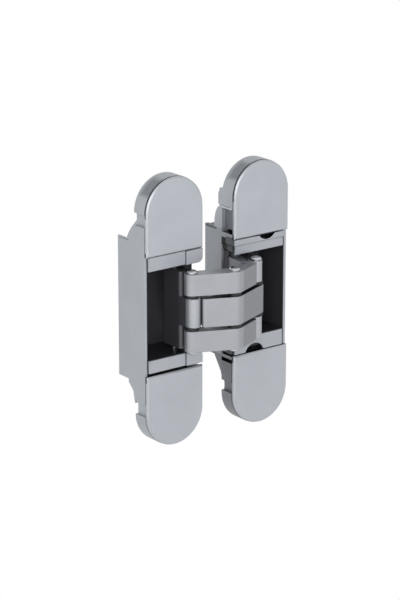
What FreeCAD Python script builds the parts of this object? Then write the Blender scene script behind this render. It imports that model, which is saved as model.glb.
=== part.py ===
import FreeCAD, Part
import math
import os
import Sketcher

# Concealed invisible door hinge, millimetres, fully open as it lies in a frame and a door.
# +X runs from the frame-side housing to the door-side one, +Y into the timber, +Z up.
# The origin is the centre of the frame side's four fixing holes, on the seats of their screws.

os.makedirs("parts", exist_ok=True)
doc = FreeCAD.newDocument("ConcealedHinge")
sheet = doc.addObject("Spreadsheet::Sheet", "Sizes")

# Driving dimensions: alias, value in mm, what it is
SIZES = [
    ("housingLength", 120.0, "overall height of each housing"),
    ("housingWidth", 30.0, "overall width, also twice the end radius"),
    ("housingDepth", 21.5, "face to back of the box"),
    ("housingSpacing", 46.8, "centre to centre with the hinge open"),
    ("rimDepth", 8.9, "depth of the round-ended rim"),
    ("rimFront", 1.8, "rim front below the face, room for the cover"),
    ("boxBevel", 1.0, "bevel along the back edges of the box"),
    ("sideWall", 1.2, "wall beside the pocket"),
    ("floorWall", 1.7, "wall behind the pocket"),
    ("cavityRoom", 1.0, "cavity beyond the frame side's carriers"),
    ("endWall", 2.3, "box beyond the cavity"),
    ("lipGap", 0.4, "lip above the door side's top carrier"),
    ("lipSide", 2.6, "lip short of the housing's outer edge"),
    ("sideCut", 9.2, "depth of the opening in the inner side wall"),
    ("cheekWall", 2.0, "thickness of the side cheeks"),
    ("shadowGap", 0.2, "gap between the lip and the cover's edge"),
    ("cheekStep", 0.6, "cheek above the box at its back edge"),
    ("cheekRise", 2.5, "cheek above the box at its shoulder"),
    ("cheekCurve", 3.0, "hollow between the cheek's shoulder and the rim"),
    ("cheekTop", 12.5, "where the cheek meets the rim, above the box"),
    ("cheekShoulder", 13.5, "depth of the cheek's shoulder"),
    ("recessLow", 0.4, "side recess, lower end above the box"),
    ("recessHigh", 10.9, "side recess, upper end above the box"),
    ("recessLong", 14.0, "the door side's lower recess, far end beyond the box"),
    ("recessDepth", 1.6, "side recess, depth into the rim"),
    ("recessEdge", 0.6, "rim left in front of the side recess"),
    ("lugEnd", 10.0, "lug behind the door side's rim, short of the housing's end"),
    ("lugTall", 5.8, "lug along the hinge"),
    ("lugDeep", 2.4, "lug behind the rim"),
    ("lugWide", 5.0, "lug along the rim"),
    ("lugSlant", 1.1, "lug's upper corner inside the rim's round end"),
    ("notchEnd", 12.6, "locating notch, short of the housing's end"),
    ("notchTall", 2.6, "locating notch along the hinge"),
    ("notchDepth", 2.3, "locating notch, into the rim's back edge"),
    ("notchWide", 1.6, "locating notch, into the rim's side"),
    ("coverGap", 0.3, "covers' straight edges beyond the frame side's carriers"),
    ("coverThickness", 1.5, "cover plate"),
    ("coverInset", 0.15, "cover inside the rim's outline"),
    ("coverBevel", 0.6, "bevel round the cover's face"),
    ("prongAcross", 9.6, "snap prong, centre across"),
    ("prongBeyond", 11.9, "snap prong, centre beyond the cover's straight edge"),
    ("prongWide", 4.6, "snap prong along the hinge"),
    ("prongThick", 1.2, "snap prong thickness"),
    ("prongLength", 6.0, "snap prong below the cover"),
    ("slotFit", 0.3, "room round the prongs and carriers"),
    ("fixingAcross", 6.4, "fixing hole, from the centre line"),
    ("fixingEnd", 11.6, "fixing hole, short of the housing's end"),
    ("fixingBore", 5.2, "fixing hole diameter"),
    ("fixingHead", 9.4, "fixing screw head recess diameter"),
    ("fixingSink", 2.6, "fixing screw head recess depth"),
    ("armHalf", 17.3, "half height of the arm stack"),
    ("middleHalf", 6.4, "half height of the middle arm"),
    ("outerLow", 8.0, "inner face of the fork arm's eyes"),
    ("centreProud", 10.9, "centre pin in front of the face"),
    ("frontAcross", 6.0, "front pin from the housing centre"),
    ("frontProud", 3.6, "front pin in front of the face"),
    ("armAcross", 10.2, "arm pin from the housing centre"),
    ("armDeep", 6.0, "arm pin behind the face"),
    ("linkAcross", 7.2, "link pin from the housing centre"),
    ("linkDeep", 10.6, "link pin behind the face"),
    ("centreEye", 3.4, "arm radius at the centre pin"),
    ("frontEye", 3.3, "arm radius at the front pin"),
    ("armEye", 2.9, "arm radius at the arm pin"),
    ("linkEye", 2.7, "link radius at the link pin"),
    ("knuckleEye", 3.15, "link radius at the front pin"),
    ("kneeAside", 4.6, "arm's knee from the front pin, across"),
    ("kneeProud", 3.7, "arm's knee in front of the front pin"),
    ("kneeRound", 1.6, "arm radius at the knee"),
    ("waistAside", 5.8, "arm's waist from the front pin, across"),
    ("waistDeep", 0.6, "arm's waist behind the front pin"),
    ("waistRound", 1.9, "arm radius at the waist"),
    ("reliefGap", 0.5, "arm clear of the link's knuckle"),
    ("plateAside", 1.05, "link plate outside the front pin"),
    ("plateHalf", 1.9, "half thickness of the link plate"),
    ("plateFront", 2.6, "front of the link plate behind the face"),
    ("plateNeck", 1.6, "where the knuckle's neck meets the plate"),
    ("plateBack", 12.0, "back of the link plate"),
    ("plateHeel", 1.0, "link eye's arm meets the plate before its back end"),
    ("webAside", 1.8, "fork web beside the arm pin"),
    ("webLow", -0.6, "fork web, front, behind the face"),
    ("webHigh", 1.2, "fork web, back, behind the face"),
    ("webRound", 1.3, "fork web half thickness"),
    ("slotAside", 0.75, "front slot centre from the pin at rest, across"),
    ("slotProud", 0.22, "front slot centre in front of the pin at rest"),
    ("slotTravel", 1.3, "how far the front pin slides in its slot"),
    ("slotRoom", 0.28, "front slot's half width over the pin's radius"),
    ("centreShaft", 4.0, "centre pin diameter"),
    ("frontShaft", 3.0, "front pin diameter"),
    ("armShaft", 3.5, "arm pin diameter"),
    ("linkShaft", 3.0, "link pin diameter"),
    ("pinFit", 0.04, "radial clearance of pins in eyes"),
    ("headWide", 4.8, "pin head diameter"),
    ("headTall", 1.2, "pin head height"),
    ("headBevel", 0.6, "bevel round the pin heads"),
    ("ringGap", 0.1, "rings and heads clear of the faces beside them"),
    ("washerWide", 6.0, "washer diameter"),
    ("spacerWide", 4.8, "spacer ring diameter"),
    ("frameTopRoom", 2.9, "frame side, top carrier above the arms"),
    ("frameTopThick", 6.0, "frame side, height of the top carrier"),
    ("frameBottomRoom", 2.3, "frame side, bottom carrier below the arms"),
    ("frameBottomThick", 5.6, "frame side, height of the bottom carrier"),
    ("doorTopRoom", 2.2, "door side, top carrier above the arms"),
    ("doorTopThick", 3.9, "door side, height of the top carrier"),
    ("doorBottomRoom", 1.8, "door side, bottom carrier below the arms"),
    ("doorBottomThick", 7.0, "door side, height of the bottom carrier"),
    ("faceDeep", 0.8, "carriers' front below the face"),
    ("plateThick", 2.0, "back of the door side's face plates below the face"),
    ("doorPlateSide", 1.1, "door side's face plate inside the housing's edge"),
    ("carrierFoot", 0.6, "carriers clear of the pocket's floor"),
    ("carrierSide", 0.3, "carriers clear of the pocket's walls"),
    ("carrierArm", 2.0, "how far the carrier's back reaches in from the seam"),
    ("blockSeam", 6.0, "seam between carrier and pivot block"),
    ("blockBack", 8.6, "depth of the pivot block"),
    ("blockEnd", 0.4, "pivot block inside the housing's side face"),
    ("blockRound", 2.6, "rounding under the pivot block"),
    ("seamGap", 0.2, "width of the seams between carrier and block"),
    ("pinEnd", 0.5, "pin ends below the carriers' outer faces"),
    ("heightTravel", 0.9, "height adjustment, downwards"),
    ("sideTravel", 1.0, "side adjustment, each way"),
    ("camAcross", 3.0, "cam centre from the housing centre"),
    ("camBeyond", 3.1, "cam disc centre beyond the covers' straight edges"),
    ("camWide", 9.8, "cam disc diameter"),
    ("camThrow", 1.4, "cam spindle off the disc's centre"),
    ("camFront", 2.3, "cam disc, front below the face"),
    ("camBack", 4.4, "cam disc, back below the face"),
    ("camSpindle", 4.0, "cam spindle diameter"),
    ("camSpindleEnd", 7.6, "cam spindle, back below the face"),
    ("camKey", 4.0, "hexagon socket across flats"),
    ("camKeyDeep", 1.5, "hexagon socket depth"),
    ("camFit", 0.08, "cam disc clear of the carrier's fingers"),
    ("camRoom", 0.4, "room round the cam and the fingers"),
    ("fingerWide", 1.6, "width of each finger beside the cam"),
    ("fingerRoot", 1.1, "root of the fingers, into the carrier"),
    ("fingerBeyond", 2.4, "end of the fingers beyond the cam's centre"),
    ("eyeletWide", 10.7, "round opening over each cam"),
    ("eyeletTop", 0.1, "top round opening's centre before the cam's"),
    ("eyeletBottom", 1.7, "bottom round opening's centre before the cam's"),
]

for number, (alias, value, note) in enumerate(SIZES, start=1):
    sheet.set("A%d" % number, alias)
    sheet.set("B%d" % number, str(value))
    sheet.setAlias("B%d" % number, alias)
    sheet.set("C%d" % number, note)
doc.recompute()

NAMES = sorted((alias for alias, _, _ in SIZES), key=len, reverse=True)


def bound(text):
    """An expression on the sheet, written with bare alias names."""
    words = ""
    word = ""
    for letter in str(text) + " ":
        if letter.isalpha():
            word += letter
            continue
        words += "Sizes." + word if word in NAMES else word
        word = ""
        words += letter
    return words.strip()


def value(text):
    return float(sheet.evalExpression(bound(text)))


# Sketches: every point, radius and offset is an expression on the sheet
class Drawing:
    def __init__(self, body, name, plane, offset):
        planes = {part.Role: part for part in body.Origin.OriginFeatures}
        self.sketch = body.newObject("Sketcher::SketchObject", name)
        self.sketch.AttachmentSupport = (planes[plane], [""])
        self.sketch.MapMode = "FlatFace"
        self.sketch.setExpression("AttachmentOffset.Base.z", bound(offset))

    def fix(self, kind, *where, text):
        index = self.sketch.addConstraint(Sketcher.Constraint(kind, *where, value(text)))
        self.sketch.setExpression("Constraints[%d]" % index, bound(text))

    def join(self, kind, *where):
        self.sketch.addConstraint(Sketcher.Constraint(kind, *where))

    def pin(self, shape, point, across, along):
        self.fix("DistanceX", -1, 1, shape, point, text=across)
        self.fix("DistanceY", -1, 1, shape, point, text=along)

    def circle(self, across, along, radius):
        centre = FreeCAD.Vector(value(across), value(along), 0)
        shape = self.sketch.addGeometry(Part.Circle(centre, FreeCAD.Vector(0, 0, 1), value(radius)))
        self.pin(shape, 3, across, along)
        self.fix("Radius", shape, text=radius)

    def polygon(self, corners):
        points = [FreeCAD.Vector(value(x), value(y), 0) for x, y in corners]
        count = len(points)
        lines = []
        for index in range(count):
            segment = Part.LineSegment(points[index], points[(index + 1) % count])
            lines.append(self.sketch.addGeometry(segment))
        for index in range(count):
            self.join("Coincident", lines[index], 2, lines[(index + 1) % count], 1)
        for index in range(count):
            self.pin(lines[index], 1, *corners[index])

    def rectangle(self, left, right, low, high):
        self.polygon([(left, low), (right, low), (right, high), (left, high)])

    def hexagon(self, across, along, flats):
        corners = []
        for index in range(6):
            turn = "%d deg" % (60 * index)
            x = "%s + (%s) / sqrt(3) * cos(%s)" % (across, flats, turn)
            y = "%s + (%s) / sqrt(3) * sin(%s)" % (along, flats, turn)
            corners.append((x, y))
        self.polygon(corners)

    def stadium(self, half, height):
        middle = "(%s) - (%s)" % (height, half)
        self.bar(("0", "-(%s)" % middle, half), ("0", middle, half))

    def bar(self, first, second):
        """Two round ends joined by tangent lines; each end is (across, along, radius)."""
        ends = [(FreeCAD.Vector(value(x), value(y), 0), value(r)) for x, y, r in (first, second)]
        (start, small), (stop, large) = ends
        span = stop - start
        lean = math.acos((small - large) / span.Length)
        heading = math.atan2(span.y, span.x)
        axis = FreeCAD.Vector(0, 0, 1)

        def touch(centre, radius, angle):
            return centre + FreeCAD.Vector(math.cos(angle), math.sin(angle), 0) * radius

        up = heading + lean
        down = heading - lean
        arcs = [
            Part.ArcOfCircle(Part.Circle(start, axis, small), up, down + 2 * math.pi),
            Part.ArcOfCircle(Part.Circle(stop, axis, large), down, up),
        ]
        sides = [
            Part.LineSegment(touch(start, small, down), touch(stop, large, down)),
            Part.LineSegment(touch(stop, large, up), touch(start, small, up)),
        ]
        near, far = [self.sketch.addGeometry(arc) for arc in arcs]
        low, high = [self.sketch.addGeometry(side) for side in sides]
        self.join("Tangent", near, 2, low, 1)
        self.join("Tangent", low, 2, far, 1)
        self.join("Tangent", far, 2, high, 1)
        self.join("Tangent", high, 2, near, 1)
        for shape, (x, y, r) in ((near, first), (far, second)):
            self.pin(shape, 3, x, y)
            self.fix("Radius", shape, text=r)

    def roundEnd(self, half, edge, height, sign):
        """Straight edge at `edge`, sides up to a half circle whose crown is at `height`."""
        radius = value(half)
        foot = sign * value(edge)
        spring = sign * (value(height) - radius)
        centre = FreeCAD.Vector(0, spring, 0)
        axis = FreeCAD.Vector(0, 0, 1)
        turn = (0, math.pi) if sign > 0 else (math.pi, 2 * math.pi)
        arc = self.sketch.addGeometry(Part.ArcOfCircle(Part.Circle(centre, axis, radius), *turn))
        right, left = (1, 2) if sign > 0 else (2, 1)
        corners = [FreeCAD.Vector(radius, spring, 0), FreeCAD.Vector(radius, foot, 0)]
        corners += [FreeCAD.Vector(-radius, foot, 0), FreeCAD.Vector(-radius, spring, 0)]
        sides = [self.sketch.addGeometry(Part.LineSegment(corners[i], corners[i + 1])) for i in range(3)]
        self.join("Tangent", arc, right, sides[0], 1)
        self.join("Coincident", sides[0], 2, sides[1], 1)
        self.join("Coincident", sides[1], 2, sides[2], 1)
        self.join("Tangent", sides[2], 2, arc, left)
        self.pin(sides[0], 2, half, "%d * (%s)" % (sign, edge))
        self.pin(sides[2], 1, "-(%s)" % half, "%d * (%s)" % (sign, edge))
        self.fix("Radius", arc, text=half)
        self.pin(arc, 3, "0", "%d * ((%s) - (%s))" % (sign, height, half))


def pad(body, name, plane, low, high, draw):
    """Adds material between low and high along the plane's axis."""
    offset = "-(%s)" % high if plane == "XZ_Plane" else low
    drawing = Drawing(body, name + "Sketch", plane, offset)
    draw(drawing)
    feature = body.newObject("PartDesign::Pad", name)
    feature.Profile = (drawing.sketch, [""])
    feature.setExpression("Length", bound("(%s) - (%s)" % (high, low)))


def pocket(body, name, plane, low, high, draw):
    """Takes material away between low and high along the plane's axis."""
    offset = "-(%s)" % low if plane == "XZ_Plane" else high
    drawing = Drawing(body, name + "Sketch", plane, offset)
    draw(drawing)
    feature = body.newObject("PartDesign::Pocket", name)
    feature.Profile = (drawing.sketch, [""])
    feature.setExpression("Length", bound("(%s) - (%s)" % (high, low)))


def dress(body, kind, name, chosen):
    """A chamfer or fillet on the edges of the body's tip that `chosen` accepts."""
    doc.recompute()
    base = body.Tip
    edges = ["Edge%d" % (i + 1) for i, edge in enumerate(base.Shape.Edges) if chosen(edge)]
    feature = body.newObject(kind, name)
    feature.Base = (base, edges)
    return feature


def bevel(body, name, size, chosen):
    dress(body, "PartDesign::Chamfer", name, chosen).setExpression("Size", bound(size))


def rounded(body, name, radius, chosen):
    dress(body, "PartDesign::Fillet", name, chosen).setExpression("Radius", bound(radius))


PARTS = []


def newBody(label):
    body = doc.addObject("PartDesign::Body", label)
    body.Label = label
    PARTS.append(body)
    return body


# The frame side keeps the local axes (X towards the other housing, Y from the face inwards); the
# door side is the same turned half round, so its local Z points down.
PLACES = {"frame": "0", "door": "housingSpacing", "": "housingSpacing / 2"}


def place(body, side, turned):
    """Moves a piece from its own axes to its side of the hinge."""
    if turned:
        half = FreeCAD.Rotation(FreeCAD.Vector(0, 1, 0), 180)
        body.Placement = FreeCAD.Placement(FreeCAD.Vector(), half)
    body.setExpression("Placement.Base.x", bound(PLACES[side]))
    body.setExpression("Placement.Base.y", bound("-(rimFront + fixingSink)"))


def sideEnds(side):
    """Names of the two ends with the sign of their height in the side's own axes."""
    up = 1 if side == "frame" else -1
    return (("top", up), ("bottom", -up))


def signed(sign, text):
    return "%d * (%s)" % (sign, text)


def span(sign, low, high):
    """The two heights in rising order for an end above (+1) or below (-1) the middle."""
    if sign > 0:
        return low, high
    return "-(%s)" % high, "-(%s)" % low


def carrierFaces(side, end):
    """Inner and outer face of a carrier, from mid height."""
    name = side + end.capitalize()
    inner = "armHalf + %sRoom" % name
    return inner, inner + " + %sThick" % name


# Housings: one die casting each, a round-ended rim with a deep box behind it
HALF = "housingWidth / 2"
LENGTH = "housingLength / 2"
CAVITY = carrierFaces("frame", "top")[1] + " + cavityRoom"
BOX = CAVITY + " + endWall"
COVER = carrierFaces("frame", "top")[1] + " + coverGap"
LIP = carrierFaces("door", "top")[1] + " + lipGap"
CAM = COVER + " + camBeyond"
PRONG = COVER + " + prongBeyond"
LUG = LENGTH + " - lugEnd"
NOTCH = LENGTH + " - notchEnd"
CARRIER_BACK = "housingDepth - floorWall - carrierFoot"
ENDS = (("Upper", 1), ("Lower", -1))
FLANKS = (("Left", -1), ("Right", 1))


def buildHousing(side):
    body = newBody(side + "_housing")
    pad(body, "Rim", "XZ_Plane", "rimFront", "rimDepth", lambda d: d.stadium(HALF, LENGTH))
    pad(body, "Box", "XZ_Plane", "rimDepth", "housingDepth",
        lambda d: d.rectangle("-(%s)" % HALF, HALF, "-(%s)" % BOX, BOX))
    back = value("housingDepth")
    bevel(body, "BackBevel", "boxBevel", lambda e: all(abs(v.Y - back) < 1e-6 for v in e.Vertexes))
    for flank, across in FLANKS:
        left, right = span(across, HALF + " - cheekWall", HALF)
        for end, sign in ENDS:
            pad(body, "%sCheek%s" % (end, flank), "YZ_Plane", left, right, lambda d: drawCheek(d, sign))
    if side == "door":
        pad(body, "Lug", "XZ_Plane", "rimDepth - 1", "rimDepth + lugDeep", drawLug)
    cutPocket(body, side)
    for end, sign in ENDS:
        reach = "recessLong" if (side, sign) == ("door", 1) else "recessHigh"
        low, high = span(sign, BOX + " + recessLow", BOX + " + " + reach)
        pocket(body, end + "Recess", "YZ_Plane", HALF + " - recessDepth", HALF + " + 1",
               lambda d: d.rectangle("rimFront + recessEdge", "rimDepth", low, high))
        for flank, across in FLANKS:
            cutRim(body, end + flank, across, sign, notched=(side, across, sign) != ("door", 1, -1))
        if side == "door":
            cutCamSeat(body, end, sign)
    place(body, side, side == "door")


def fixing(across, sign):
    return signed(across, "fixingAcross"), signed(sign, LENGTH + " - fixingEnd")


def drawCheek(drawing, sign):
    corners = [
        ("rimDepth - 1", BOX + " - cheekRise"),
        ("housingDepth", BOX + " - cheekRise"),
        ("housingDepth", BOX + " + cheekStep"),
        ("cheekShoulder", BOX + " + cheekRise"),
        ("cheekShoulder - cheekCurve", BOX + " + cheekRise + cheekCurve"),
        ("rimDepth + cheekStep", BOX + " + cheekTop - cheekRise"),
        ("rimDepth - 1", BOX + " + cheekTop"),
    ]
    drawing.polygon([(y, signed(sign, z)) for y, z in corners])


def drawLug(drawing):
    """On the upper end of the door side, at the flank towards the frame side."""
    inner = HALF + " - lugWide"
    high = "-(%s)" % LUG
    low = "-(%s - lugTall)" % LUG
    drawing.polygon([(inner, high), (HALF + " - lugSlant", high), (HALF, "-(%s - (%s))" % (LENGTH, HALF)),
                     (HALF, low), (inner, low)])


def cutPocket(body, side):
    """The cavity for the arms, open at the face and at the side towards the other housing."""
    inner = HALF + " - sideWall"
    low = "-(%s)" % (CAVITY if side == "frame" else LIP)
    if side == "door":
        pad(body, "Lip", "XZ_Plane", "0", "rimFront",
            lambda d: d.rectangle("lipSide - " + HALF, HALF, "-(%s - shadowGap)" % COVER, low))
    pocket(body, "Cavity", "XZ_Plane", "-1", "housingDepth - floorWall",
           lambda d: d.rectangle("-(%s)" % inner, inner, low, CAVITY))
    pocket(body, "SideOpening", "XZ_Plane", "-1", "sideCut",
           lambda d: d.rectangle(inner + " - 1", HALF + " + 1", low, CAVITY))


def cutRim(body, tag, across, sign, notched):
    """Fixing hole, prong slot and locating notch in one corner of the rim."""
    pocket(body, "Sink" + tag, "XZ_Plane", "rimFront - 1", "rimFront + fixingSink",
           lambda d: d.circle(*fixing(across, sign), "fixingHead / 2"))
    pocket(body, "Bore" + tag, "XZ_Plane", "rimFront - 1", "rimDepth + 1",
           lambda d: d.circle(*fixing(across, sign), "fixingBore / 2"))
    pocket(body, "Slot" + tag, "XZ_Plane", "rimFront - 1", "rimDepth + 1",
           lambda d: d.rectangle(*prong(across, sign, "slotFit")))
    if notched:
        left, right = span(across, HALF + " - notchWide", HALF + " + 1")
        low, high = span(sign, NOTCH + " - notchTall", NOTCH)
        pocket(body, "Notch" + tag, "XZ_Plane", "rimDepth - notchDepth", "rimDepth + 1",
               lambda d: d.rectangle(left, right, low, high))


def prong(across, sign, room):
    """Left, right, low and high of a snap prong, or of its slot with room round it."""
    left, right = span(across, "prongAcross - prongThick / 2 - (%s)" % room,
                       "prongAcross + prongThick / 2 + (%s)" % room)
    low, high = span(sign, PRONG + " - prongWide / 2 - (%s)" % room, PRONG + " + prongWide / 2 + (%s)" % room)
    return left, right, low, high


# Side adjustment: an eccentric disc between two fingers of the carrier, at each end of the door side
CAM_SEAT = "camBack + camRoom"
FINGER_EDGE = "camWide / 2 + camFit + fingerWide"


def camPlace(sign, height):
    return signed(sign, "camAcross"), signed(sign, height)


def aside(sign, reach):
    """Left and right of something that reaches equally to both sides of a cam."""
    return "%s - (%s)" % (signed(sign, "camAcross"), reach), "%s + (%s)" % (signed(sign, "camAcross"), reach)


def cutCamSeat(body, end, sign):
    left, right = aside(sign, FINGER_EDGE + " + sideTravel + camRoom")
    low, high = span(sign, LIP + " - 1", CAM + " + fingerBeyond + camRoom")
    pocket(body, end + "FingerSeat", "XZ_Plane", "rimFront", CAM_SEAT,
           lambda d: d.rectangle(left, right, low, high))
    pocket(body, end + "CamSeat", "XZ_Plane", "rimFront", CAM_SEAT,
           lambda d: d.circle(*camPlace(sign, CAM + " + camThrow"), "camThrow + camWide / 2 + camRoom"))
    pocket(body, end + "SpindleBore", "XZ_Plane", "camBack", "camSpindleEnd + camRoom",
           lambda d: d.circle(*camPlace(sign, CAM + " + camThrow"), "camSpindle / 2 + pinFit"))
    if sign < 0:
        pocket(body, "Eyelet", "XZ_Plane", "-1", CAM_SEAT,
               lambda d: d.circle(*camPlace(sign, CAM + " - eyeletTop"), "eyeletWide / 2"))


def buildCam(end, sign):
    body = newBody("door_cam_" + end)
    pad(body, "Disc", "XZ_Plane", "camFront", "camBack",
        lambda d: d.circle(*camPlace(sign, CAM), "camWide / 2"))
    pad(body, "Spindle", "XZ_Plane", "camBack", "camSpindleEnd",
        lambda d: d.circle(*camPlace(sign, CAM + " + camThrow"), "camSpindle / 2"))
    pocket(body, "Key", "XZ_Plane", "camFront - 1", "camFront + camKeyDeep",
           lambda d: d.hexagon(*camPlace(sign, CAM + " + camThrow"), "camKey"))
    place(body, "door", True)


# Covers: a round-ended plate with two snap prongs behind it
def buildCover(side, end, sign):
    body = newBody("%s_cover_%s" % (side, end))
    pad(body, "Plate", "XZ_Plane", "0", "coverThickness",
        lambda d: d.roundEnd(HALF + " - coverInset", COVER, LENGTH + " - coverInset", sign))
    bevel(body, "FaceBevel", "coverBevel", lambda e: all(abs(v.Y) < 1e-6 for v in e.Vertexes))
    for flank, across in FLANKS:
        pad(body, flank + "Prong", "XZ_Plane", "coverThickness", "coverThickness + prongLength",
            lambda d: d.rectangle(*prong(across, sign, "0")))
    place(body, side, side == "door")


# Carriers and pivot blocks: the ends of the pocket, which hold the pins
def buildCarrier(side, end, sign):
    body = newBody("%s_carrier_%s" % (side, end))
    low, high = span(sign, *carrierFaces(side, end))
    seam = "blockSeam - seamGap / 2"
    outer = "sideWall + carrierSide - (%s)" % HALF
    if side == "door":
        outer += " + sideTravel"
    pad(body, "Core", "XZ_Plane", "faceDeep", CARRIER_BACK, lambda d: d.rectangle(outer, seam, low, high))
    if side == "door":
        pad(body, "Face", "XZ_Plane", "faceDeep", "plateThick",
            lambda d: d.rectangle(outer, HALF + " - doorPlateSide", low, high))
    inner = HALF + " - sideWall - carrierSide - sideTravel"
    pad(body, "Back", "XZ_Plane", "blockBack + seamGap", CARRIER_BACK,
        lambda d: d.rectangle(seam + " - carrierArm", inner, low, high))
    if side == "door":
        addFingers(body, end, sign)
    low, high = span(sign, "armHalf", carrierFaces(side, end)[1] + " + 1")
    pocket(body, "LinkBore", "XY_Plane", low, high,
           lambda d: d.circle("linkAcross", "linkDeep", "linkShaft / 2 + pinFit"))
    place(body, side, side == "door")


def addFingers(body, end, sign):
    left, right = aside(sign, FINGER_EDGE)
    outer = carrierFaces("door", end)[1]
    low, high = span(sign, outer + " - fingerRoot", CAM + " + fingerBeyond")
    pad(body, "Fingers", "XZ_Plane", "camFront", "camBack", lambda d: d.rectangle(left, right, low, high))
    low, high = span(sign, outer + " - fingerRoot", outer)
    pad(body, "Root", "XZ_Plane", "plateThick", "camFront", lambda d: d.rectangle(left, right, low, high))
    left, right = aside(sign, "camWide / 2 + camFit")
    low, high = span(sign, CAM + " - camWide / 2 - camRoom", CAM + " + fingerBeyond + 1")
    pocket(body, "CamSlot", "XZ_Plane", "plateThick", CAM_SEAT,
           lambda d: d.rectangle(left, right, low, high))
    if end == "bottom":
        pocket(body, "Eyelet", "XZ_Plane", "-1", "camFront",
               lambda d: d.circle(*camPlace(sign, CAM + " - eyeletBottom"), "eyeletWide / 2"))


def buildBlock(side, end, sign):
    body = newBody("%s_pivot_block_%s" % (side, end))
    faces = carrierFaces(side, end)
    low, high = span(sign, *faces)
    front = "0" if side == "frame" else "plateThick + seamGap"
    pad(body, "Block", "XZ_Plane", front, "blockBack",
        lambda d: d.rectangle("blockSeam + seamGap / 2", HALF + " - blockEnd", low, high))
    near = value(signed(sign, faces[0]))
    tip = value(HALF + " - blockEnd")
    rounded(body, "Under", "blockRound",
            lambda e: all(abs(v.Z - near) + abs(v.X - tip) < 1e-6 for v in e.Vertexes))
    if side == "door":
        foot, crown = span(sign, "armHalf + ringGap", faces[0] + " + ringGap")
        pad(body, "ArmBoss", "XY_Plane", foot, crown, lambda d: d.circle("armAcross", "armDeep", "spacerWide / 2"))
    if (side, end) == ("door", "bottom"):
        right = aside(sign, FINGER_EDGE + " + seamGap")[1]
        low2, high2 = span(sign, faces[1] + " - fingerRoot - seamGap", faces[1] + " + 1")
        pocket(body, "FingerStep", "XZ_Plane", "0", CAM_SEAT,
               lambda d: d.rectangle("blockSeam - 1", right, low2, high2))
    low, high = span(sign, "armHalf", faces[1] + " + 1")
    pocket(body, "ArmBore", "XY_Plane", low, high,
           lambda d: d.circle("armAcross", "armDeep", "armShaft / 2 + pinFit"))
    place(body, side, side == "door")


# Arms: the middle arm is one layer; the fork arm is the same outline in two layers with a web.
# Both are drawn from the frame side; the fork arm is then turned half round to the door side.
LAYERS = {
    "middle": (("Middle", "-middleHalf", "middleHalf"),),
    "outer": (("Upper", "outerLow", "armHalf"), ("Lower", "-armHalf", "-outerLow")),
}
ARM_EYE = ("armAcross - housingSpacing / 2", "armDeep", "armEye")
FRONT_EYE = ("housingSpacing / 2 - frontAcross", "-frontProud", "frontEye")
CENTRE_EYE = ("0", "-centreProud", "centreEye")
KNEE = ("frontAcross - housingSpacing / 2 + kneeAside", "-frontProud - kneeProud", "kneeRound")
WAIST = ("frontAcross - housingSpacing / 2 + waistAside", "waistDeep - frontProud", "waistRound")
ARM_BARS = (("Facet", CENTRE_EYE, FRONT_EYE), ("Shoulder", CENTRE_EYE, KNEE), ("Knee", KNEE, WAIST),
            ("Leg", WAIST, ARM_EYE))


def buildArm(label, layers):
    body = newBody(label)
    if layers == "outer":
        web = "armAcross - housingSpacing / 2 + webAside"
        pad(body, "Web", "XY_Plane", "-outerLow - 1", "outerLow + 1",
            lambda d: d.bar((web, "webLow", "webRound"), (web, "webHigh", "webRound")))
    for layer, low, high in LAYERS[layers]:
        for name, first, second in ARM_BARS:
            pad(body, layer + name, "XY_Plane", low, high, lambda d: d.bar(first, second))
    bores = (("Centre", CENTRE_EYE, "centreShaft / 2 + pinFit"), ("Front", FRONT_EYE, "frontShaft / 2 + pinFit"),
             ("Arm", ARM_EYE, "armShaft / 2 + pinFit"))
    for name, (across, along, _), radius in bores:
        pocket(body, name + "Bore", "XY_Plane", "-armHalf - 1", "armHalf + 1",
               lambda d: d.circle(across, along, radius))
    pocket(body, "Relief", "XY_Plane", "-armHalf - 1", "armHalf + 1",
           lambda d: d.circle("frontAcross - housingSpacing / 2 + slotAside", "-frontProud - slotProud",
                              "knuckleEye + reliefGap"))
    place(body, "", layers == "outer")


# Links: a plate with a slotted knuckle round the front pin and an eye on the link pin
def buildLink(side):
    body = newBody(side + "_link")
    middle = "frontAcross - plateAside"
    front = (middle, "plateFront", "plateHalf")
    back = (middle, "plateBack", "plateHalf")
    neck = (middle, "plateNeck", "plateHalf")
    heel = (middle, "plateBack - plateHeel", "plateHalf")
    knuckle = ("frontAcross + slotAside", "-frontProud - slotProud", "knuckleEye")
    knuckleLayers, eyeLayers = ("middle", "outer") if side == "frame" else ("outer", "middle")
    pad(body, "Plate", "XY_Plane", "-armHalf", "armHalf", lambda d: d.bar(front, back))
    for layer, low, high in LAYERS[knuckleLayers]:
        pad(body, layer + "Knuckle", "XY_Plane", low, high, lambda d: d.bar(knuckle, neck))
        pad(body, layer + "Neck", "XY_Plane", low, high, lambda d: d.bar(neck, front))
    for layer, low, high in LAYERS[eyeLayers]:
        pad(body, layer + "Eye", "XY_Plane", low, high,
            lambda d: d.bar(("linkAcross", "linkDeep", "linkEye"), heel))
    pocket(body, "LinkBore", "XY_Plane", "-armHalf - 1", "armHalf + 1",
           lambda d: d.circle("linkAcross", "linkDeep", "linkShaft / 2 + pinFit"))
    stops = [("frontAcross + slotAside %s slotTravel / 2" % way, "-frontProud - slotProud",
              "frontShaft / 2 + slotRoom") for way in "-+"]
    pocket(body, "Slot", "XY_Plane", "-armHalf - 1", "armHalf + 1", lambda d: d.bar(*stops))
    place(body, side, side == "door")


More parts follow.
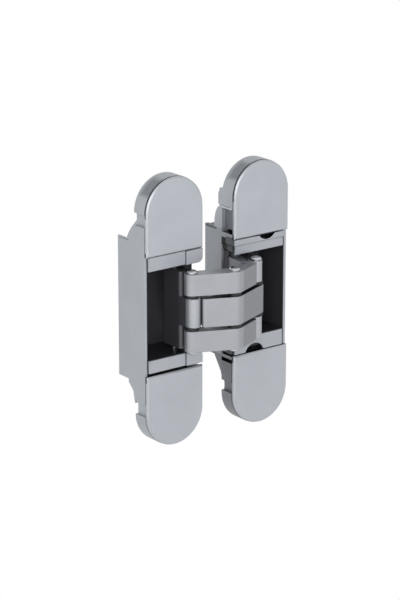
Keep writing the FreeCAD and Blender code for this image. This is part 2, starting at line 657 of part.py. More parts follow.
# Pins: turned, plain in the carriers and headed at the front
def buildHeadedPin(label, side, across, along, shaft):
    body = newBody(label)
    seat = "armHalf + ringGap"
    pad(body, "Shaft", "XY_Plane", "-(%s)" % seat, seat, lambda d: d.circle(across, along, shaft))
    for end, sign in ENDS:
        foot, top = span(sign, seat, seat + " + headTall")
        pad(body, end + "Head", "XY_Plane", foot, top, lambda d: d.circle(across, along, "headWide / 2"))
    crown = value(seat + " + headTall")
    bevel(body, "Crown", "headBevel", lambda e: all(abs(abs(v.Z) - crown) < 1e-6 for v in e.Vertexes))
    place(body, side, side == "door")


def pinSpan(side):
    """Low and high end of a pin held by both carriers, in the side's own axes."""
    low = "-(%s - pinEnd)" % carrierFaces(side, "bottom")[1]
    high = "%s - pinEnd" % carrierFaces(side, "top")[1]
    if side == "door":
        return "-(%s)" % high, "-(%s)" % low
    return low, high


def buildPlainPin(label, side, across, along, shaft):
    body = newBody(label)
    low, high = pinSpan(side)
    pad(body, "Shaft", "XY_Plane", low, high, lambda d: d.circle(across, along, shaft))
    place(body, side, side == "door")


# Rings: loose turned spacers and washers on the pins, one node per pin
def buildRings(label, side, across, along, bore, rim, spans):
    rings = []
    for low, high in spans:
        outer = doc.addObject("Part::Cylinder", "Disc")
        inner = doc.addObject("Part::Cylinder", "Hole")
        for disc, radius in ((outer, rim), (inner, bore + " + pinFit")):
            disc.setExpression("Radius", bound(radius))
            disc.setExpression("Height", bound("(%s) - (%s)" % (high, low)))
            disc.setExpression("Placement.Base.x", bound(across))
            disc.setExpression("Placement.Base.y", bound(along))
            disc.setExpression("Placement.Base.z", bound(low))
        ring = doc.addObject("Part::Cut", "Ring")
        ring.Base = outer
        ring.Tool = inner
        rings.append(ring)
    group = doc.addObject("Part::Compound", label)
    group.Label = label
    group.Links = rings
    place(group, side, side == "door")
    PARTS.append(group)


def ringSpans(low, upper, lower):
    """One ring from `low` up to `upper` above the middle and one down to `lower` below it."""
    near = low + " + ringGap"
    return (near, upper + " - ringGap"), ("-(%s - ringGap)" % lower, "-(%s)" % near)


for side in ("frame", "door"):
    buildHousing(side)
    for end, sign in sideEnds(side):
        buildCover(side, end, sign)
        buildCarrier(side, end, sign)
        buildBlock(side, end, sign)
        if side == "door":
            buildCam(end, sign)
    buildLink(side)
    buildPlainPin(side + "_arm_pin", side, "armAcross", "armDeep", "armShaft / 2")
    buildPlainPin(side + "_link_pin", side, "linkAcross", "linkDeep", "linkShaft / 2")
    buildHeadedPin(side + "_front_pin", side, "frontAcross", "-frontProud", "frontShaft / 2")
    buildRings(side + "_front_washers", side, "frontAcross", "-frontProud", "frontShaft / 2",
               "washerWide / 2", ringSpans("middleHalf", "outerLow", "outerLow"))
buildArm("middle_arm", "middle")
buildArm("fork_arm", "outer")
buildHeadedPin("centre_pin", "", "0", "-centreProud", "centreShaft / 2")
buildRings("centre_washers", "", "0", "-centreProud", "centreShaft / 2", "washerWide / 2",
           ringSpans("middleHalf", "outerLow", "outerLow"))
buildRings("frame_arm_spacers", "frame", "armAcross", "armDeep", "armShaft / 2", "spacerWide / 2",
           ringSpans("middleHalf", carrierFaces("frame", "top")[0], carrierFaces("frame", "bottom")[0]))

doc.recompute()

# Nothing is written unless every object is up to date and every piece is a valid solid
for item in doc.Objects:
    if "Invalid" in item.State or "Error" in item.State:
        raise RuntimeError("%s is %s" % (item.Label, item.State))
for part in PARTS:
    shape = part.Shape
    if shape.isNull() or not shape.isValid() or not shape.Solids:
        raise RuntimeError("%s has no valid solid" % part.Label)
for part in PARTS:
    part.Shape.exportStep("parts/%s.step" % part.Label)
    size = part.Shape.BoundBox
    print("%-26s solids %d  volume %9.1f  x %7.2f %7.2f  y %7.2f %7.2f  z %7.2f %7.2f" % (
        part.Label, len(part.Shape.Solids), part.Shape.Volume,
        size.XMin, size.XMax, size.YMin, size.YMax, size.ZMin, size.ZMax))
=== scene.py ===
import math

import bmesh
import bpy
import numpy as np
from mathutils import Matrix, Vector


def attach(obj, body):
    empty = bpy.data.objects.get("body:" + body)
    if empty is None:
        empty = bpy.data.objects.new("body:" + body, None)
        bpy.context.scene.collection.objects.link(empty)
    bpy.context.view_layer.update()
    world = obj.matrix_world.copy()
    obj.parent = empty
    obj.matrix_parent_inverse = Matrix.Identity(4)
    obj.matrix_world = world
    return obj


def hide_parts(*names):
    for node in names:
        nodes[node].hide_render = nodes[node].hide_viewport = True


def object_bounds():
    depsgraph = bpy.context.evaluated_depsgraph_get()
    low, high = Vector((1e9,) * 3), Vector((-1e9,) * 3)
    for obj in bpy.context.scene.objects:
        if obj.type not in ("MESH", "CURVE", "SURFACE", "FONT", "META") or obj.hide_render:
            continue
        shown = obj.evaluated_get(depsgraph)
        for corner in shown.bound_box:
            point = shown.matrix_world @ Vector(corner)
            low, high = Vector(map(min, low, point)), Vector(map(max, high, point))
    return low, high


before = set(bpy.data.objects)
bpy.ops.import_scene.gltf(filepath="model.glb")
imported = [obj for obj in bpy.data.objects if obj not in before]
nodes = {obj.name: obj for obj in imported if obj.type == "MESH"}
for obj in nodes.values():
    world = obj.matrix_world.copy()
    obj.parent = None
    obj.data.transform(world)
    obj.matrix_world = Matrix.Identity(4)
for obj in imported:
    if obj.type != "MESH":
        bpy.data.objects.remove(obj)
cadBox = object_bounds()
mm = 0.001
facePlane = -4.4  # millimetres; the housings' face in the frame's own Y
print("loaded", len(nodes), "nodes of the hinge")

bevelSamples = 6
wavePeriod = 0.3  # length of one band of the wave texture at scale 1, about 2 pi / 20
hardEdge = 0.004  # a tone's zone ends within this share of the box's half


def linear(code):
    # sRGB hex value to linear light, with alpha
    parts = [int(code[i:i + 2], 16) / 255 for i in (1, 3, 5)]
    return tuple(c / 12.92 if c <= 0.04045 else ((c + 0.055) / 1.055) ** 2.4 for c in parts) + (1.0,)


def addNode(tree, kind, settings=None, links=None):
    # one node with its settings and what feeds its sockets; "stops" are a ramp's (place, hex) pairs
    node = tree.nodes.new(kind)
    for name, value in (settings or {}).items():
        if name == "stops":
            points = node.color_ramp.elements
            for point, (at, code) in zip(points, (value[0], value[-1])):
                point.position, point.color = at, linear(code)
            for at, code in value[1:-1]:
                points.new(at).color = linear(code)
        elif isinstance(name, int) or name in node.inputs:
            node.inputs[name].default_value = value
        else:
            setattr(node, name, value)
    for name, socket in (links or {}).items():
        tree.links.new(socket, node.inputs[name])
    return node


def newMaterial(name):
    material = bpy.data.materials.new(name)
    material.use_nodes = True
    tree = material.node_tree
    tree.nodes.clear()
    place = addNode(tree, "ShaderNodeTexCoord").outputs["Object"]
    return material, tree, place


def finishMaterial(tree, shader):
    addNode(tree, "ShaderNodeOutputMaterial", links={"Surface": shader.outputs[0]})


satinChrome = {  # zinc die casting, blasted and then satin chrome plated: pale, matt, a little blue
    "tones": ("#b3b7bc", "#b9bcc1"),  # faint patches from uneven blasting
    "toneEdges": (0.3, 0.7),
    "patch": 16 * mm,
    "patchRoughness": 0.5,
    "grit": 0.35 * mm,  # blasting grit is nearer 0.1 mm, drawn coarser so that it shows
    "gritRoughness": 0.6,
    "gritDepth": 0.006 * mm,
    "detail": 2.0,
    "roughness": (0.38, 0.46),
    "metallic": 0.5,
    "gloss": 0.5,
    "edge": 0.25 * mm,  # radius of the cast edges
    "paintedShade": "#55555a",  # painted shade in the pockets and gaps, where less light reaches
    "deep": None,  # millimetres behind the face between which the tone goes over to the painted shade
    "pockets": (),  # boxes (low, high) in millimetres that alone hold the painted shade
    "zones": (),  # more boxes with a painted tone of their own, painted shade or painted highlight: (hex, boxes, fade as a share of a box's half)
}


def insideBoxes(tree, place, boxes, fade):
    # 1 inside any of the boxes, 0 beyond the fade outside: the largest of |p - centre| / half
    inside = None
    for low, high in boxes:
        centre = [(a + b) / 2 * mm for a, b in zip(low, high)]
        half = [(b - a) / 2 * mm for a, b in zip(low, high)]
        shifted = addNode(tree, "ShaderNodeVectorMath", {"operation": "SUBTRACT", 1: centre},
                          {0: place})
        scaled = addNode(tree, "ShaderNodeVectorMath", {"operation": "DIVIDE", 1: half},
                         {0: shifted.outputs[0]})
        whole = addNode(tree, "ShaderNodeVectorMath", {"operation": "ABSOLUTE"},
                        {0: scaled.outputs[0]})
        parts = addNode(tree, "ShaderNodeSeparateXYZ", links={0: whole.outputs[0]})
        wide = addNode(tree, "ShaderNodeMath", {"operation": "MAXIMUM"},
                       {0: parts.outputs[0], 1: parts.outputs[1]})
        most = addNode(tree, "ShaderNodeMath", {"operation": "MAXIMUM"},
                       {0: wide.outputs[0], 1: parts.outputs[2]})
        mask = addNode(tree, "ShaderNodeMapRange", {"From Min": 1 + fade, "From Max": 1.0},
                       {"Value": most.outputs[0]}).outputs["Result"]
        if inside is None:
            inside = mask
        else:
            inside = addNode(tree, "ShaderNodeMath", {"operation": "MAXIMUM"},
                             {0: inside, 1: mask}).outputs[0]
    return inside


def makePlated(name, look):
    material, tree, place = newMaterial(name)
    patches = addNode(tree, "ShaderNodeTexNoise",
                      {"Scale": 1 / look["patch"], "Detail": look["detail"],
                       "Roughness": look["patchRoughness"]}, {"Vector": place})
    grit = addNode(tree, "ShaderNodeTexNoise",
                   {"Scale": 1 / look["grit"], "Detail": look["detail"],
                    "Roughness": look["gritRoughness"]}, {"Vector": place})
    colour = addNode(tree, "ShaderNodeValToRGB", {"stops": list(zip(look["toneEdges"], look["tones"]))},
                     {"Fac": patches.outputs["Fac"]}).outputs["Color"]
    # painted shade: darker behind the face, and only inside the given boxes if there are any
    shade = None
    if look["deep"]:
        start, stop = [(depth + facePlane) * mm for depth in look["deep"]]
        parts = addNode(tree, "ShaderNodeSeparateXYZ", links={0: place})
        shade = addNode(tree, "ShaderNodeMapRange", {"From Min": start, "From Max": stop},
                        {"Value": parts.outputs["Y"]}).outputs["Result"]
    if look["pockets"]:
        held = insideBoxes(tree, place, look["pockets"], hardEdge)
        shade = addNode(tree, "ShaderNodeMath", {"operation": "MULTIPLY"},
                        {0: held, 1: shade}).outputs[0]
    if shade is not None:
        colour = addNode(tree, "ShaderNodeMix", {"data_type": "RGBA", 7: linear(look["paintedShade"])},
                         {0: shade, 6: colour}).outputs[2]
    # the zones paint their tone over it: painted shade and painted highlight
    for tone, boxes, fade in look["zones"]:
        held = insideBoxes(tree, place, boxes, fade)
        colour = addNode(tree, "ShaderNodeMix", {"data_type": "RGBA", 7: linear(tone)},
                         {0: held, 6: colour}).outputs[2]
    low, high = look["roughness"]
    rough = addNode(tree, "ShaderNodeMapRange", {"To Min": low, "To Max": high},
                    {"Value": grit.outputs["Fac"]})
    edge = addNode(tree, "ShaderNodeBevel", {"Radius": look["edge"], "samples": bevelSamples})
    bump = addNode(tree, "ShaderNodeBump", {"Strength": 1.0, "Distance": look["gritDepth"]},
                   {"Height": grit.outputs["Fac"], "Normal": edge.outputs["Normal"]})
    shader = addNode(tree, "ShaderNodeBsdfPrincipled",
                     {"Metallic": look["metallic"], "Specular IOR Level": look["gloss"]},
                     {"Base Color": colour, "Roughness": rough.outputs["Result"],
                      "Normal": bump.outputs["Normal"]})
    finishMaterial(tree, shader)
    return material


flankFront = facePlane + 1.5  # the flanks' painted shade begins behind the rim's rounded front edge
# painted shade: the housings' pockets darken with depth behind the face
housingLook = dict(satinChrome, deep=(1.0, 2.5), pockets=[
    ((-13.8, facePlane - 0.1, -27.2), (13.85, 15.45, 27.2)),  # the frame side's pocket
    ((32.95, facePlane - 0.1, -27.2), (60.6, 15.45, 27.2)),  # the door side's
], zones=[
    # painted shade on the rims' shoulders, which face upwards
    ("#8b8e93", [((-15.0, -6.0, 53.5), (-7.0, 1.6, 58.5)),
                 ((31.8, -6.0, 53.5), (39.8, 1.6, 58.5))], 0.7),
    # painted shade on the door side's inner flank, which faces the frame side: box, lower end, lower
    # panel
    ("#a3a7ac", [((31.6, flankFront, -30.0), (32.2, 17.3, 30.0))], hardEdge),
    ("#83858a", [((31.6, flankFront, -60.2), (47.0, 4.45, -27.6)),
                 ((31.6, 4.4, -44.0), (33.3, 17.3, -27.6))], hardEdge),
    ("#76787d", [((31.6, flankFront, -44.0), (33.6, 4.55, -30.0))], hardEdge),
    # painted shade on the upper recess, a painted highlight on the ledge over it and a painted shadow
    # line over that
    ("#7b7e83", [((31.6, flankFront, 30.0), (33.6, 4.45, 39.45))], hardEdge),
    ("#dfe1e4", [((31.6, facePlane + 2.4, 39.5), (33.6, 4.9, 40.1))], hardEdge),
    ("#5c5e62", [((31.6, facePlane + 3.4, 40.1), (33.6, 4.9, 40.4))], hardEdge),
    # painted shade on the top of the box and the flank of the strip above the pocket
    ("#65676b", [((31.6, 8.3, 28.7), (37.0, 17.3, 29.6))], hardEdge),
    ("#63666b", [((31.6, facePlane + 0.08, 20.5), (32.2, 1.6, 27.2))], hardEdge),
    # painted shade in the opening beside the upper block, the slit beside the strip and the cam's bore
    # in the lip
    ("#0c0c0e", [((32.95, facePlane + 2.6, 14.0), (36.5, 15.4, 23.5)),
                 ((31.6, 1.65, 23.0), (32.9, 4.8, 26.4)),
                 ((44.0, facePlane + 0.12, 24.0), (56.5, facePlane + 4.0, 28.0))], hardEdge),
    # painted shade in the slots at the inner ends of the recess and the panel
    ("#101012", [((31.9, flankFront, 28.5), (36.0, 4.5, 30.15)),
                 ((31.6, flankFront, -30.2), (36.0, 4.5, -28.4))], hardEdge),
])
# painted shadow line: the covers' edges darken behind their rounded front, only in these boxes
coverLook = dict(satinChrome, tones=("#bcc0c5", "#c2c6cb"), deep=(0.7, 0.9), paintedShade="#3c3e44", pockets=[
    ((-16.0, -19.0, 43.5), (63.0, 2.0, 61.0)),  # the upper covers' arcs
    ((-16.0, -19.0, 23.0), (63.0, 2.0, 28.5)),  # their straight ends
    ((-16.0, -19.0, -29.5), (63.0, 2.0, -23.0)),  # the lower covers' straight ends
])
# painted shade in the seams: the carriers darken behind their front face
carrierLook = dict(satinChrome, deep=(1.0, 2.2), paintedShade="#38383c")
# painted shade: the blocks darken behind their front face
blockLook = dict(satinChrome, deep=(0.3, 1.8), paintedShade="#55575b", zones=[
    ("#0c0c0e", [((32.1, 1.2, 14.0), (40.8, 4.3, 23.5))], hardEdge),  # painted shade on the boss behind the opening
])
# painted shade: the arms darken behind their front face
armLook = dict(satinChrome, tones=("#a9abaf", "#b0b1b5"), patch=9 * mm, edge=0.22 * mm,
               deep=(0.5, 3.5), zones=[
    ("#93959a", [((27.0, -19.0, -18.0), (44.5, 2.0, 18.0))], 0.1),  # painted shade on the facets turned to the door side
    # painted shade in the gaps between the arms and beside the knuckle
    ("#1c1c1f", [((2.0, -19.0, 6.32), (45.0, 6.0, 7.6)), ((2.0, -19.0, -7.6), (45.0, 6.0, -6.32)),
                 ((8.9, -11.5, -6.4), (9.5, 2.0, 6.4))], hardEdge),
])
# painted shade: the links darken on their flanks behind the pin's axis
linkLook = dict(satinChrome, tones=("#b2b5b9", "#b9bbbf"), patch=9 * mm, edge=0.2 * mm,
                deep=(-3.3, -2.3), paintedShade="#5a5a5f", zones=[
    ("#1c1c1f", [((8.9, -11.5, -6.6), (10.2, 2.0, 6.6))], hardEdge),  # painted shade in the same gap, on the knuckle
])
camLook = dict(satinChrome, tones=("#0a0a0c", "#101012"), roughness=(0.45, 0.6), gloss=0.1,
               edge=0.15 * mm)  # hardened steel, blacked: dull, nearly no gloss

turnedSteel = {  # bright drawn and turned steel: fine rings round the axis, sharp glints
    "tone": "#b8babd",
    "rings": 0.25 * mm,  # feed of the tool, drawn coarser than the real 0.1 mm
    "ringDepth": 0.006 * mm,
    "wobble": 0.4,
    "roughness": 0.24,
    "edge": 0.12 * mm,
    "headRadius": 2.4 * mm,
    "grooveShade": "#55575b",  # painted shade of a ring turned into each head
    "grooveEdges": (0.35, 0.45, 0.68, 0.78),  # where it begins and ends, as shares of the head
    "axes": ((6.0, -8.0), (23.4, -15.3), (40.8, -8.0)),  # of the headed pins, millimetres
}


def makeTurnedSteel(name, look):
    material, tree, place = newMaterial(name)
    rings = addNode(tree, "ShaderNodeTexWave",
                    {"wave_type": "BANDS", "bands_direction": "Z",
                     "Scale": wavePeriod / look["rings"], "Distortion": look["wobble"]},
                    {"Vector": place})
    edge = addNode(tree, "ShaderNodeBevel", {"Radius": look["edge"], "samples": bevelSamples})
    bump = addNode(tree, "ShaderNodeBump", {"Strength": 1.0, "Distance": look["ringDepth"]},
                   {"Height": rings.outputs["Fac"], "Normal": edge.outputs["Normal"]})
    nearest = None
    for x, y in look["axes"]:  # distance from the nearest pin's axis
        shifted = addNode(tree, "ShaderNodeVectorMath",
                          {"operation": "SUBTRACT", 1: (x * mm, y * mm, 0.0)}, {0: place})
        flat = addNode(tree, "ShaderNodeVectorMath", {"operation": "MULTIPLY", 1: (1.0, 1.0, 0.0)},
                       {0: shifted.outputs[0]})
        away = addNode(tree, "ShaderNodeVectorMath", {"operation": "LENGTH"},
                       {0: flat.outputs[0]}).outputs["Value"]
        if nearest is None:
            nearest = away
        else:
            nearest = addNode(tree, "ShaderNodeMath", {"operation": "MINIMUM"},
                              {0: nearest, 1: away}).outputs[0]
    share = addNode(tree, "ShaderNodeMapRange", {"From Max": look["headRadius"]}, {"Value": nearest})
    begins, full, wanes, ends = look["grooveEdges"]
    # a ring of painted shade across each pin's head
    tone = addNode(tree, "ShaderNodeValToRGB", {"stops": [
        (0.0, look["tone"]), (begins, look["tone"]), (full, look["grooveShade"]),
        (wanes, look["grooveShade"]), (ends, look["tone"]), (1.0, look["tone"]),
    ]}, {"Fac": share.outputs["Result"]})
    shader = addNode(tree, "ShaderNodeBsdfPrincipled",
                     {"Metallic": 1.0, "Roughness": look["roughness"]},
                     {"Base Color": tone.outputs["Color"], "Normal": bump.outputs["Normal"]})
    finishMaterial(tree, shader)
    return material


blackAcetal = {  # moulded black acetal: dull, a little waxy
    "tones": ("#101012", "#1a1a1d"),
    "toneEdges": (0.35, 0.65),
    "grain": 0.5 * mm,
    "detail": 2.0,
    "roughness": 0.55,
}


def makeBlackAcetal(name, look):
    material, tree, place = newMaterial(name)
    grain = addNode(tree, "ShaderNodeTexNoise",
                    {"Scale": 1 / look["grain"], "Detail": look["detail"]}, {"Vector": place})
    colour = addNode(tree, "ShaderNodeValToRGB", {"stops": list(zip(look["toneEdges"], look["tones"]))},
                     {"Fac": grain.outputs["Fac"]})
    shader = addNode(tree, "ShaderNodeBsdfPrincipled", {"Roughness": look["roughness"]},
                     {"Base Color": colour.outputs["Color"]})
    finishMaterial(tree, shader)
    return material


finishes = [  # how a node's name ends, and what it is made of
    (("washers", "spacers"), makeBlackAcetal("blackAcetal", blackAcetal)),
    (("pin",), makeTurnedSteel("turnedSteel", turnedSteel)),
    (("cam_top", "cam_bottom"), makePlated("blackOxideSteel", camLook)),
    (("_link",), makePlated("satinChromeLink", linkLook)),
    (("_arm",), makePlated("satinChromeArm", armLook)),
    (("cover_top", "cover_bottom"), makePlated("satinChromeCover", coverLook)),
    (("carrier_top", "carrier_bottom"), makePlated("satinChromeCarrier", carrierLook)),
    (("block_top", "block_bottom"), makePlated("satinChromeBlock", blockLook)),
    (("housing",), makePlated("satinChromeZinc", housingLook)),
]


def dressNodes():
    for name, node in nodes.items():
        material = next(m for endings, m in finishes if name.endswith(endings))
        node.data.materials.clear()
        node.data.materials.append(material)
    print("dressed", len(nodes), "nodes")


def rectangle(front, back, low, high):
    return [(front, low), (back, low), (back, high), (front, high)]


casting = {  # what the rims and flanks of both castings have besides the plain solid, millimetres
    "half": 15.0,  # half the housings' width
    "centres": {"frame": 0.0, "door": 46.8},
    "bodies": {"frame": "frame_side", "door": "door_side"},
    "rim": (1.7, 8.9),  # front and back of the rim behind the face
    "arcCentre": 45.0,  # height of the centre of the rim's round end
    "corner": (6.5, 44.7, 47.5, 1.8),  # front, low and high end and depth of the filled corners
    "cornerSteps": 6,
    "recess": (39.5, 45.0, 1.4),  # low and high end and depth of the recess in a flank of the rim
    "panel": (29.8, 39.5, 1.7, 2.3),  # low and high end, depth and front of the flank below it
    "slot": (28.6, 30.1, 1.6),  # low and high end and depth of the slot below the panel
    "box": {"frame": (-30.3, 32.3), "door": (-28.6, 29.0)},  # low and high end of the box behind the rim
    "wall": (9.5, 21.5, 1.15),  # front, back and thickness of the box's side
    "edge": 0.6,  # chamfer along the box's back edges
    "edgeReach": 35.0,  # half its height
    "overlap": 0.1,  # how far a cut reaches past what it cuts
    "merge": 0.001,  # distance below which two corners of the loose triangles are one
    "crease": 25.0,  # degrees between faces from which an edge is sharp
}
flankForms = {  # on single flanks: axis, from, to, outline in the two other axes
    "frame": {
        "added": [
            ("x", -15.0, -12.4, [(8.0, 31.0), (14.4, 31.0), (14.4, 32.7), (13.9, 34.5), (13.0, 36.3),
                                 (11.7, 38.3), (10.2, 40.1), (8.2, 42.4)]),  # cheek
        ],
        "cut": [
            # the cheek falls back from the box's flank to the recess
            ("y", 8.4, 21.7, [(-15.02, 32.4), (-15.3, 32.4), (-15.3, 45.0), (-13.6, 45.0),
                              (-13.6, 40.5)]),
            # slope under the box, and a groove below its upper edge
            ("x", -15.2, -12.8, [(13.8, -30.4), (21.7, -30.2), (21.7, -34.0), (13.8, -34.0)]),
            ("x", -15.2, -14.7, rectangle(12.9, 19.6, 31.8, 32.1)),
        ],
    },
    "door": {
        "added": [
            ("x", 31.9, 35.6, [(8.5, 40.2), (11.2, 40.2), (11.7, 40.8), (11.7, 45.4), (10.7, 47.0),
                               (8.5, 48.4)]),  # lug
            ("x", 31.8, 33.6, [(8.5, 29.0), (14.2, 29.0), (14.3, 32.1), (14.2, 33.7), (13.5, 36.5),
                               (12.2, 38.8), (10.4, 40.1), (8.5, 41.0)]),  # cheek
            ("x", 31.8, 33.6, rectangle(1.9, 8.9, 39.4, 40.6)),  # ledge
            ("x", 31.8, 33.6, rectangle(1.9, 8.9, -39.2, -30.1)),  # lower panel
        ],
        "cut": [
            ("x", 31.8, 33.4, rectangle(1.7, 8.9, 30.1, 39.4)),  # upper recess
            ("x", 31.8, 35.2, rectangle(1.7, 9.0, 28.6, 30.1)),  # slot below it
            ("x", 31.8, 33.2, rectangle(1.7, 9.0, -44.0, -39.2)),  # lower recess
            ("x", 31.8, 33.5, rectangle(1.7, 8.9, -30.1, -28.5)),  # slot above the lower panel
            ("x", 31.8, 33.25, rectangle(8.5, 9.6, -44.0, -39.2)),  # step behind the lower recess
            ("x", 31.5, 37.2, rectangle(8.92, 12.0, 47.6, 50.5)),  # what stands above the lug
            ("x", 31.5, 34.0, rectangle(14.35, 21.7, 29.6, 34.0)),  # what stands above the box
            ("x", 31.5, 62.1, [(14.2, -28.6), (21.7, -28.6), (21.7, -46.0), (8.95, -46.0),
                               (8.95, -37.4), (9.6, -35.4)]),  # slope below the box
        ],
    },
}


def prism(axis, start, stop, outline):
    # an outline in the two other axes carried straight along one axis: two copies of its points
    # and a wall between them, in millimetres with y counted from the face
    points = np.array(outline, dtype=float)
    count = len(points)
    along = "xyz".index(axis)
    corners = np.empty((2 * count, 3))
    corners[:, along] = np.repeat((start, stop), count)
    corners[:, [other for other in range(3) if other != along]] = np.tile(points, (2, 1))
    corners[:, 1] += facePlane
    ring = np.arange(count)
    after = np.roll(ring, -1)
    walls = np.column_stack((ring, after, after + count, ring + count))
    ends = [ring[::-1].tolist(), (ring + count).tolist()]
    mesh = bpy.data.meshes.new("prism")
    mesh.from_pydata((corners * mm).tolist(), [], ends + walls.tolist())
    shape = bmesh.new()
    shape.from_mesh(mesh)
    bmesh.ops.recalc_face_normals(shape, faces=shape.faces)
    shape.to_mesh(mesh)
    shape.free()
    return mesh


def flankBlock(side, flank, depth, outline):
    # an outline carried from a housing's outer face inwards
    outer = casting["centres"][side] + flank * casting["half"]
    return prism("x", *sorted((outer, outer - flank * depth)), outline)


def roundCorner(side, flank, end):
    # fills the rim's notch out to the round end: x = sqrt(half^2 - (z - centre)^2)
    front, low, high, depth = casting["corner"]
    half, middle = casting["half"], casting["arcCentre"]
    heights = np.linspace(middle, high, casting["cornerSteps"])
    arc = np.column_stack((np.sqrt(half ** 2 - (heights - middle) ** 2), heights))
    outline = np.vstack(([(half - depth, low), (half, low)], arc, [(half - depth, high)]))
    outline = outline * (flank, end) + (casting["centres"][side], 0.0)
    return prism("y", front, casting["rim"][1], outline)


def backEdge(side, flank):
    # three-cornered bar that takes off the edge between the box's side and its back
    overlap = casting["overlap"]
    outer = casting["centres"][side] + flank * (casting["half"] + overlap)
    behind, leg = casting["wall"][1] + overlap, casting["edge"] + 2 * overlap
    corners = [(outer, behind), (outer, behind - leg), (outer - flank * leg, behind)]
    return prism("z", -casting["edgeReach"], casting["edgeReach"], corners)


def flankTools(side):
    # what is added to and cut from both flanks of one housing
    front, back = casting["rim"]
    wallFront, wallBack, wallDepth = casting["wall"]
    recessLow, recessHigh, recessDepth = casting["recess"]
    panelLow, panelHigh, panelDepth, panelFront = casting["panel"]
    slotLow, slotHigh, slotDepth = casting["slot"]
    overlap = casting["overlap"]
    added, cut = [], []
    for flank in (1, -1):
        added.append(flankBlock(side, flank, wallDepth,
                                rectangle(wallFront, wallBack, *casting["box"][side])))
        cut.append(backEdge(side, flank))
        for end in (1, -1):
            # the door side's inner flank: its recesses are in flankForms, its upper corner stays
            ownForms = side == "door" and flank == -1
            if not (ownForms and end == 1):
                added.append(roundCorner(side, flank, end))
            if not ownForms:
                reach = sorted((end * recessLow, end * recessHigh))
                cut.append(flankBlock(side, flank, recessDepth,
                                      rectangle(front, back + overlap, *reach)))
    if side == "frame":
        for end in (1, -1):
            reach = sorted((end * panelLow, end * panelHigh))
            added.append(flankBlock(side, 1, panelDepth, rectangle(panelFront, back, *reach)))
            reach = sorted((end * slotLow, end * slotHigh))
            cut.append(flankBlock(side, 1, slotDepth, rectangle(front, back - overlap, *reach)))
    added += [prism(*form) for form in flankForms[side]["added"]]
    cut += [prism(*form) for form in flankForms[side]["cut"]]
    return added, cut


def addBooleans(piece, tools, operation):
    for tool in tools:
        cutter = bpy.data.objects.new("cutter", tool)
        bpy.context.scene.collection.objects.link(cutter)
        change = piece.modifiers.new("change", "BOOLEAN")
        change.operation, change.solver, change.object = operation, "EXACT", cutter


def recast(side):
    # a copy of the housing's mesh, its loose triangles merged, then joined with and cut by prisms
    piece = bpy.data.objects.new(side + "_casting", nodes[side + "_housing"].data.copy())
    bpy.context.scene.collection.objects.link(piece)
    shape = bmesh.new()
    shape.from_mesh(piece.data)
    bmesh.ops.remove_doubles(shape, verts=shape.verts, dist=casting["merge"] * mm)
    shape.to_mesh(piece.data)
    shape.free()
    body = casting["bodies"][side]
    added, cut = flankTools(side)
    addBooleans(piece, added, "UNION")
    addBooleans(piece, cut, "DIFFERENCE")
    cutters = [change.object for change in piece.modifiers]
    changed = piece.evaluated_get(bpy.context.evaluated_depsgraph_get())
    solid = bpy.data.meshes.new_from_object(changed)
    piece.modifiers.clear()
    piece.data = solid
    for cutter in cutters:
        bpy.data.objects.remove(cutter)
    shape = bmesh.new()
    shape.from_mesh(solid)
    for face in shape.faces:
        face.smooth = True
    crease = math.radians(casting["crease"])
    for seam in shape.edges:
        seam.smooth = len(seam.link_faces) == 2 and seam.calc_face_angle() < crease
    shape.to_mesh(solid)
    shape.free()
    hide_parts(side + "_housing")
    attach(piece, body)
    print("recast", side, "housing,", len(solid.polygons), "faces")


camera = {
    "yaw": 37.2, "pitch": 17.4,  # degrees, from straight on and downwards
    "distance": 1073.9 * mm,
    "lens": 150.0,
    "target": (13.1 * mm, -4.4 * mm, 3.2 * mm),
    "clip": (0.05, 20.0),
}


def addCamera():
    yaw, pitch = math.radians(camera["yaw"]), math.radians(camera["pitch"])
    ahead = Vector((math.sin(yaw) * math.cos(pitch), math.cos(yaw) * math.cos(pitch), -math.sin(pitch)))
    lens = bpy.data.cameras.new("camera")
    lens.lens = camera["lens"]
    lens.clip_start, lens.clip_end = camera["clip"]
    eye = bpy.data.objects.new("camera", lens)
    bpy.context.scene.collection.objects.link(eye)
    eye.location = Vector(camera["target"]) - ahead * camera["distance"]
    eye.rotation_euler = ahead.to_track_quat("-Z", "Y").to_euler()
    bpy.context.scene.camera = eye


lamps = {  # softboxes: width and height in metres, watts, tint and where they stand
    "key": {"size": (0.45, 1.7), "power": 9.0, "tint": "#ffffff", "at": (-0.75, -0.85, 0.1)},
    "left": {"size": (0.8, 0.8), "power": 4.0, "tint": "#e4f2fa", "at": (-1.2, 0.25, -0.1)},
    "front": {"size": (1.2, 1.2), "power": 8.0, "tint": "#f6f6ff", "at": (0.1, -1.4, 0.0)},
}


def addLamps():
    for name, lamp in lamps.items():
        light = bpy.data.lights.new(name, "AREA")
        light.shape = "RECTANGLE"
        light.size, light.size_y = lamp["size"]
        light.energy = lamp["power"]
        light.color = linear(lamp["tint"])[:3]
        holder = bpy.data.objects.new(name, light)
        bpy.context.scene.collection.objects.link(holder)
        holder.location = lamp["at"]
        aim = Vector(camera["target"]) - Vector(lamp["at"])
        holder.rotation_euler = aim.to_track_quat("-Z", "Y").to_euler()


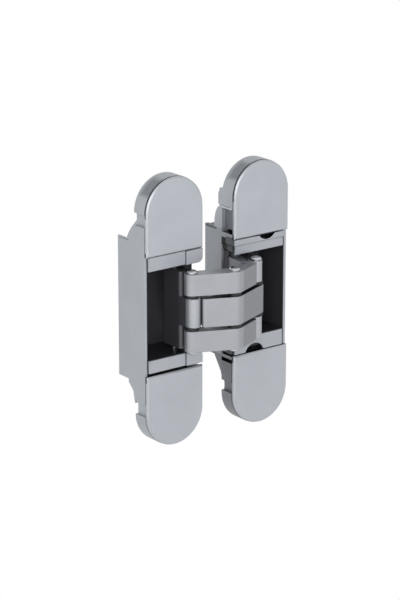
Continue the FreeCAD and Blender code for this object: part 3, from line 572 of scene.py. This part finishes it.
def shownWhite(tree, seen, lit):
    # white where the camera, a reflection or glass looks, the lit shader for everything else
    path = addNode(tree, "ShaderNodeLightPath")
    direct = addNode(tree, "ShaderNodeMath", {"operation": "MAXIMUM"},
                     {0: path.outputs["Is Camera Ray"], 1: path.outputs["Is Glossy Ray"]})
    shown = addNode(tree, "ShaderNodeMath", {"operation": "MAXIMUM"},
                    {0: direct.outputs[0], 1: path.outputs["Is Transmission Ray"]})
    return addNode(tree, "ShaderNodeMixShader", links={0: shown.outputs[0], 1: lit, 2: seen})


room = {
    "shown": "#ffffff",  # background as the camera and reflections see it
    "light": "#ccd0d4", "strength": 0.2,  # light that it gives
    "floor": "#e9e9ea", "floorDrop": 60 * mm, "floorSize": 6.0,
}


def addRoom():
    world = bpy.data.worlds.new("studio")
    bpy.context.scene.world = world
    world.use_nodes = True
    tree = world.node_tree
    tree.nodes.clear()
    lit = addNode(tree, "ShaderNodeBackground",
                  {"Color": linear(room["light"]), "Strength": room["strength"]})
    seen = addNode(tree, "ShaderNodeBackground", {"Color": linear(room["shown"]), "Strength": 1.0})
    mixed = shownWhite(tree, seen.outputs[0], lit.outputs[0])
    addNode(tree, "ShaderNodeOutputWorld", links={"Surface": mixed.outputs[0]})

    low = cadBox[0].z - room["floorDrop"]
    half = room["floorSize"] / 2
    mesh = bpy.data.meshes.new("floor")
    mesh.from_pydata([(-half, -half, low), (half, -half, low), (half, half, low), (-half, half, low)],
                     [], [(0, 1, 2, 3)])
    floor = bpy.data.objects.new("floor", mesh)
    bpy.context.scene.collection.objects.link(floor)
    material, tree, place = newMaterial("paleFloor")
    paper = addNode(tree, "ShaderNodeBsdfDiffuse", {"Color": linear(room["floor"])})
    glow = addNode(tree, "ShaderNodeEmission", {"Color": linear(room["shown"]), "Strength": 1.0})
    finishMaterial(tree, shownWhite(tree, glow.outputs[0], paper.outputs[0]))
    mesh.materials.append(material)
    print("set up the studio")


bpy.context.scene.view_settings.view_transform = "Standard"
dressNodes()
for side in casting["centres"]:
    recast(side)
addCamera()
addLamps()
addRoom()
